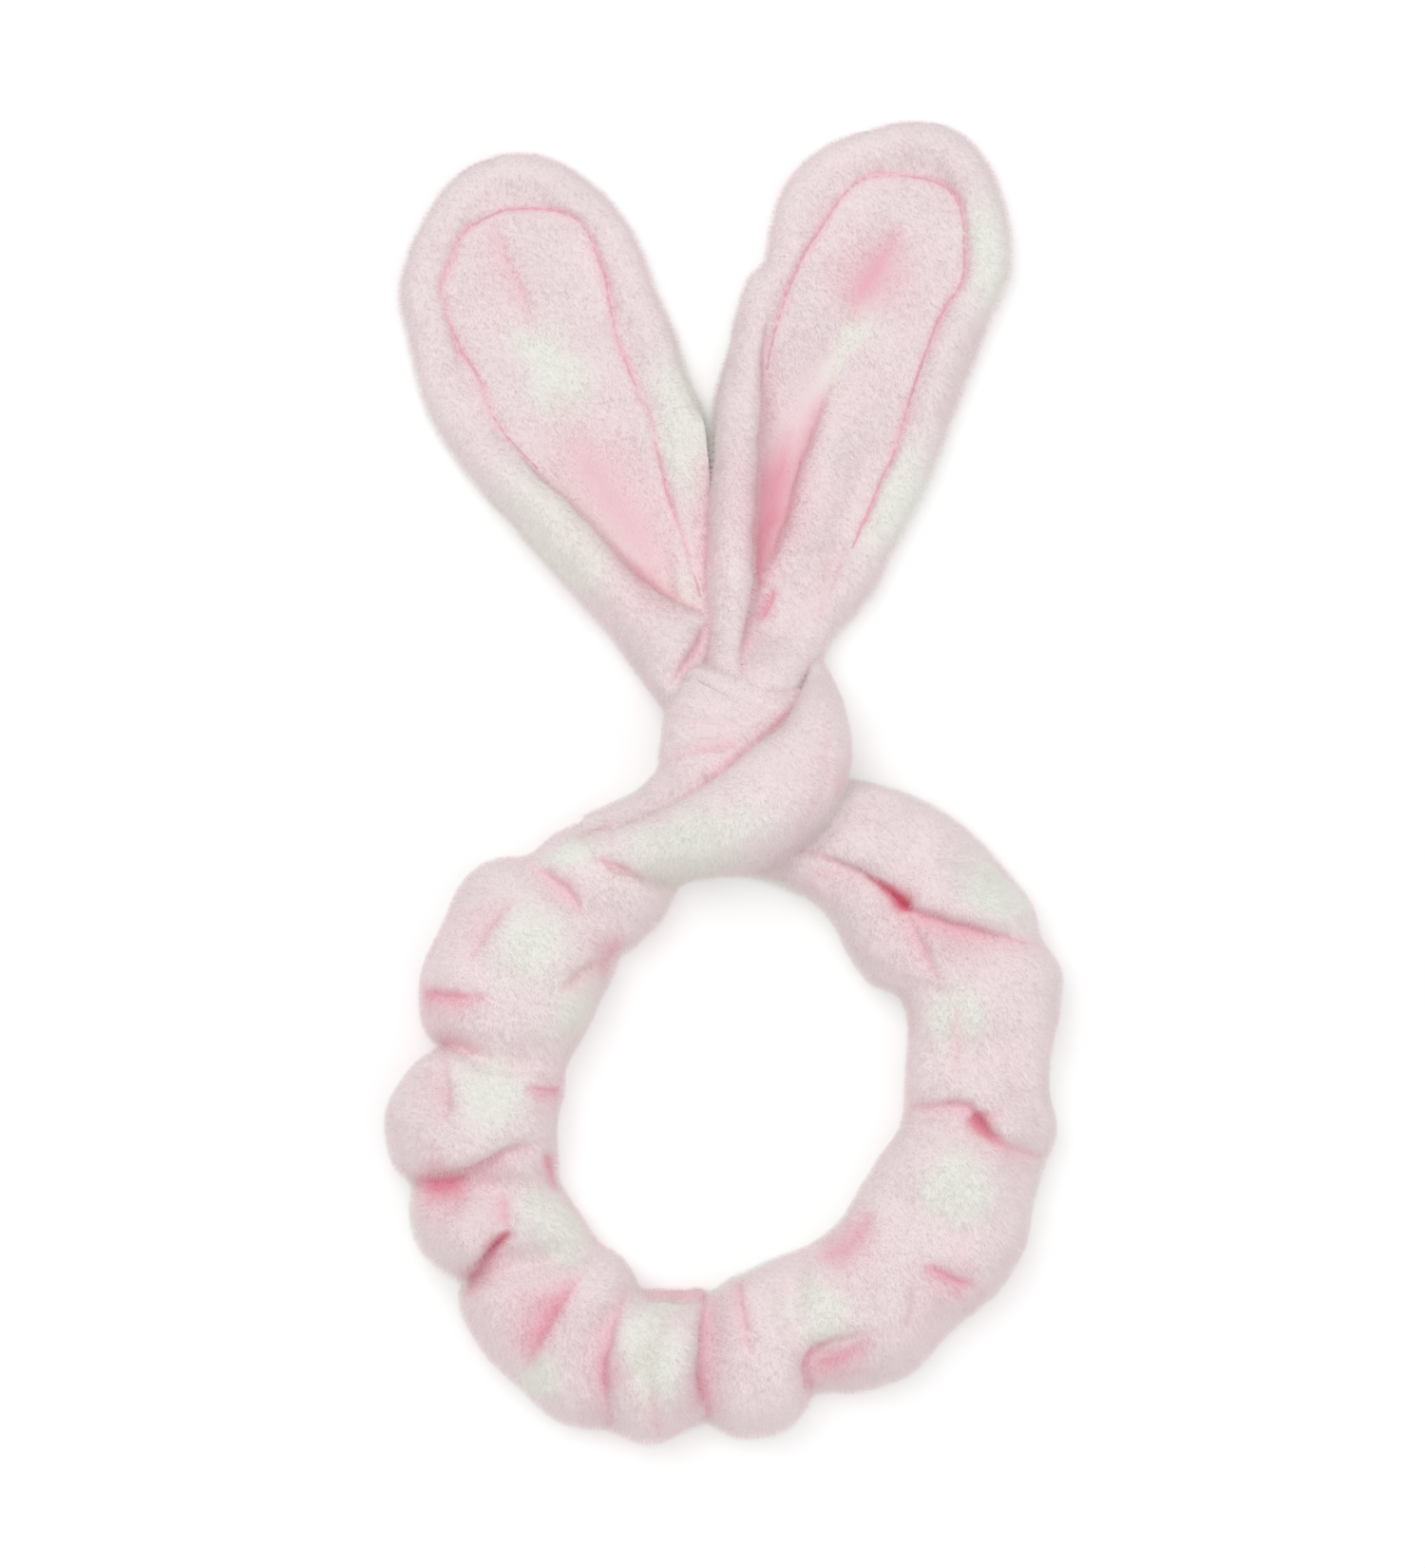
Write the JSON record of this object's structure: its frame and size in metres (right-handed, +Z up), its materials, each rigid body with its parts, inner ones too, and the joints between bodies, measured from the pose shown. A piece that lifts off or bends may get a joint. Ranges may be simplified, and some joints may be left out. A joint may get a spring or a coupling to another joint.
{
  "type": "animal ears headband",
  "caption": "Plush headband with wired rabbit ears that rise, spread and fold at the tips, a knotted front and a ruched elastic back.",
  "frame": {"origin": "centre of the head opening, on the surface that the headband lies on", "axes": "+Y from the head opening towards the ear tips, +Z up from the surface, +X to the right"},
  "size_m": [0.1781, 0.3521, 0.0381],
  "materials": {
    "band_fleece": "short soft plush pile, pale pink with cream patches",
    "ear_front_fleece": "short soft plush pile, pale pink",
    "ear_back_fleece": "short soft plush pile, pale pink with cream patches",
    "elastic": "woven white elastic",
    "thread": "pink sewing thread",
    "wire": "plastic-coated craft wire",
    "tape": "cloth tape"
  },
  "bodies": {
    "root": {"left_tail_cover": "band_fleece", "right_tail_cover": "band_fleece", "knot_front_wrap": "band_fleece", "knot_core_strand": "band_fleece", "knot_back_pass": "band_fleece", "left_joint_seam": "thread", "right_joint_seam": "thread", "left_side_cover": "band_fleece", "right_side_cover": "band_fleece", "left_side_elastic": "elastic", "right_side_elastic": "elastic"},
    "band_back": {"back_cover": "band_fleece", "back_elastic": "elastic", "back_closing_seam": "thread"},
    "left_neck": {"left_neck_cover": "band_fleece", "left_wire_stem": "wire", "left_wire_end_tape": "tape"},
    "left_ear_lower": {"left_ear_front_lower": "ear_front_fleece", "left_ear_back_lower": "ear_back_fleece", "left_ear_wire_lower": "wire", "left_ear_topstitch_lower": "thread"},
    "left_ear_tip": {"left_ear_front_tip": "ear_front_fleece", "left_ear_back_tip": "ear_back_fleece", "left_ear_wire_tip": "wire", "left_ear_topstitch_tip": "thread"},
    "right_neck": {"right_neck_cover": "band_fleece", "right_wire_stem": "wire", "right_wire_end_tape": "tape"},
    "right_ear_lower": {"right_ear_front_lower": "ear_front_fleece", "right_ear_back_lower": "ear_back_fleece", "right_ear_wire_lower": "wire", "right_ear_topstitch_lower": "thread"},
    "right_ear_tip": {"right_ear_front_tip": "ear_front_fleece", "right_ear_back_tip": "ear_back_fleece", "right_ear_wire_tip": "wire", "right_ear_topstitch_tip": "thread"}
  },
  "joints": [
    {"name": "band_stretch", "type": "slide", "parent": "root", "child": "band_back", "axis": [0, -1, 0], "range_m": [0, 0.08], "stiffness_N_per_m": 70, "deforming": ["left_side_cover", "right_side_cover", "left_side_elastic", "right_side_elastic"]},
    {"name": "left_ear_spread", "type": "hinge", "parent": "root", "child": "left_neck", "pos_m": [-0.017, 0.112, 0.009], "axis": [0, 0, 1], "range_deg": [0, 20]},
    {"name": "left_ear_raise", "type": "hinge", "parent": "left_neck", "child": "left_ear_lower", "pos_m": [-0.021, 0.126, 0.01], "axis": [1, 0, 0], "range_deg": [0, 90]},
    {"name": "left_tip_fold", "type": "hinge", "parent": "left_ear_lower", "child": "left_ear_tip", "pos_m": [-0.047, 0.19, 0.01], "axis": [1, 0, 0], "range_deg": [0, 110]},
    {"name": "right_ear_spread", "type": "hinge", "parent": "root", "child": "right_neck", "pos_m": [0.008, 0.112, 0.009], "axis": [0, 0, -1], "range_deg": [0, 20]},
    {"name": "right_ear_raise", "type": "hinge", "parent": "right_neck", "child": "right_ear_lower", "pos_m": [0.0135, 0.126, 0.01], "axis": [1, 0, 0], "range_deg": [0, 90]},
    {"name": "right_tip_fold", "type": "hinge", "parent": "right_ear_lower", "child": "right_ear_tip", "pos_m": [0.0305, 0.19, 0.01], "axis": [1, 0, 0], "range_deg": [0, 110]}
  ]
}
